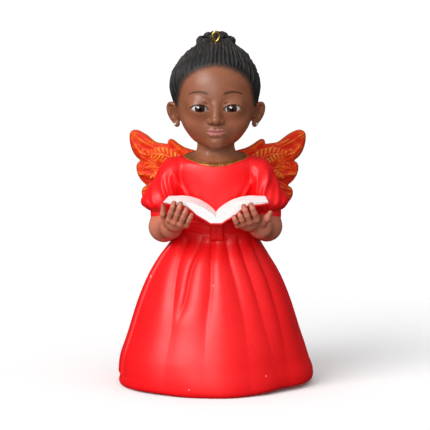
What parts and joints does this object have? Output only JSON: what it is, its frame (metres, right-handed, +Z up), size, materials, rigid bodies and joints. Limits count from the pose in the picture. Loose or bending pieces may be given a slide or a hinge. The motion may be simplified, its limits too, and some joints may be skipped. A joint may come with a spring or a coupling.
{
  "type": "angel figurine",
  "caption": "Free-standing child angel in a long bell-shaped gown, with butterfly-like wings, holding an open book, and a screw eye in the crown for hanging.",
  "frame": {"origin": "centre of the flat underside of the gown, which is also the centre of the whole box in X and Y", "axes": "+Z up, from the base to the screw eye; the angel faces -Y; +X is the angel's own left"},
  "size_m": [0.066, 0.06, 0.12],
  "materials": {
    "red_gown": "satin painted resin",
    "red_cover": "satin painted resin",
    "orange_wings": "painted resin with gold dry-brushed veins",
    "gold_paint": "gold paint on resin",
    "brown_skin": "satin painted resin",
    "charcoal_hair": "matte painted resin with combed grooves",
    "white_pages": "matte white painted resin",
    "pale_studs": "glossy pearl paint",
    "brass_eye": "brass-plated wire"
  },
  "bodies": {
    "root": {"skirt": "red_gown", "sash": "red_gown", "sash_knot": "red_gown", "bodice": "red_gown", "neckline_trim": "gold_paint", "neck": "brown_skin", "head": "brown_skin", "ear_studs": "pale_studs", "hair_cap": "charcoal_hair", "braided_bun": "charcoal_hair", "screw_eye": "brass_eye", "sleeve_left": "red_gown", "sleeve_right": "red_gown", "cuff_left": "red_gown", "cuff_right": "red_gown", "arm_left": "brown_skin", "arm_right": "brown_skin", "wing_left": "orange_wings", "wing_right": "orange_wings", "book_cover": "red_cover", "pages_left": "white_pages", "pages_right": "white_pages"}
  },
  "joints": []
}
